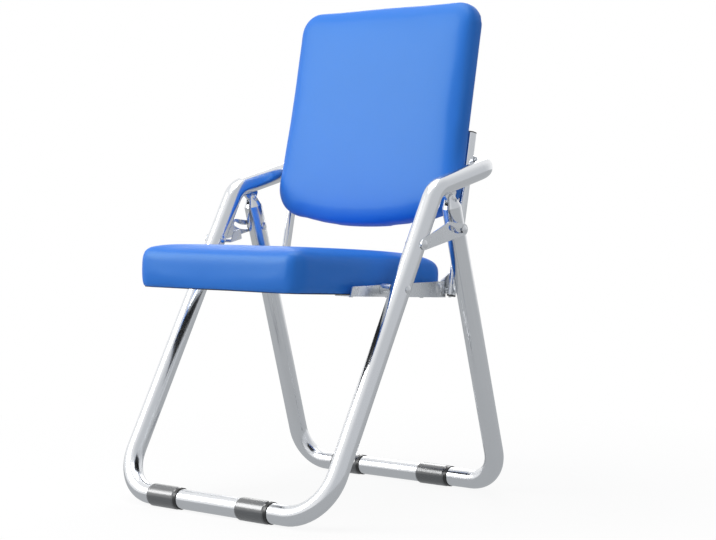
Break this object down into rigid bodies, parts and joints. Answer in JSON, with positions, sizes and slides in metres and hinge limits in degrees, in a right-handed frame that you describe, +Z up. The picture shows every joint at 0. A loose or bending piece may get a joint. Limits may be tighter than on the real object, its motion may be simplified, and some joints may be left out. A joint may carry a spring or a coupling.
{
  "type": "padded folding chair",
  "caption": "Folding armchair of bent chromed tube with a padded blue seat and backrest, hinged rear legs and a seat that tips up between the front legs.",
  "frame": {"origin": "on the floor, midway between the two foot bars and on the chair's middle plane", "axes": "+Z up, the chair faces -Y, +X across the chair to the sitter's left"},
  "size_m": [0.511, 0.5184, 0.8788],
  "materials": {
    "chromed_steel": "polished",
    "zinc_plated_steel": "satin",
    "grey_plastic": "satin",
    "black_plastic": "satin",
    "blue_leatherette": "satin",
    "wrapped_board": "satin",
    "covered_board": "matte"
  },
  "bodies": {
    "front_frame_and_back": {"backrest_board": "wrapped_board", "backrest_cushion": "blue_leatherette", "backrest_screws": "zinc_plated_steel", "backrest_tabs_left": "zinc_plated_steel", "backrest_tabs_right": "zinc_plated_steel", "front_foot_rings": "black_plastic", "front_foot_sleeve_left": "grey_plastic", "front_foot_sleeve_right": "grey_plastic", "front_frame": "chromed_steel", "hinge_bracket_left": "zinc_plated_steel", "hinge_bracket_right": "zinc_plated_steel", "hinge_pin_left": "zinc_plated_steel", "hinge_pin_right": "zinc_plated_steel", "hoop_bolts": "zinc_plated_steel", "hoop_saddle_left": "zinc_plated_steel", "hoop_saddle_right": "zinc_plated_steel", "seat_pivot_pin_left": "zinc_plated_steel", "seat_pivot_pin_right": "zinc_plated_steel", "seat_pivot_spacer_left": "zinc_plated_steel", "seat_pivot_spacer_right": "zinc_plated_steel", "seat_rest_pin_left": "zinc_plated_steel", "seat_rest_pin_right": "zinc_plated_steel", "stay_left": "zinc_plated_steel", "stay_right": "zinc_plated_steel", "stay_rivet_left": "zinc_plated_steel", "stay_rivet_right": "zinc_plated_steel", "upright_foot_cap_left": "black_plastic", "upright_foot_cap_right": "black_plastic", "upright_left": "chromed_steel", "upright_right": "chromed_steel", "upright_top_cap_left": "black_plastic", "upright_top_cap_right": "black_plastic"},
    "rear_legs": {"rear_foot_rings": "black_plastic", "rear_foot_sleeve_left": "grey_plastic", "rear_foot_sleeve_right": "grey_plastic", "rear_frame": "chromed_steel", "rear_leg_knuckle_left": "chromed_steel", "rear_leg_knuckle_right": "chromed_steel", "stay_pin_left": "zinc_plated_steel", "stay_pin_right": "zinc_plated_steel"},
    "seat": {"hook_plate_left": "zinc_plated_steel", "hook_plate_right": "zinc_plated_steel", "hook_rivets": "zinc_plated_steel", "rail_screws": "zinc_plated_steel", "seat_board": "covered_board", "seat_cushion": "blue_leatherette", "seat_rail_left": "zinc_plated_steel", "seat_rail_right": "zinc_plated_steel"}
  },
  "joints": [
    {"name": "rear_leg_fold", "type": "hinge", "parent": "front_frame_and_back", "child": "rear_legs", "pos_m": [0, 0.0929, 0.5265], "axis": [-1, 0, 0], "range_deg": [0, 44]},
    {"name": "seat_fold", "type": "hinge", "parent": "front_frame_and_back", "child": "seat", "pos_m": [0, -0.04276, 0.3763], "axis": [1, 0, 0], "range_deg": [0, 64]}
  ]
}
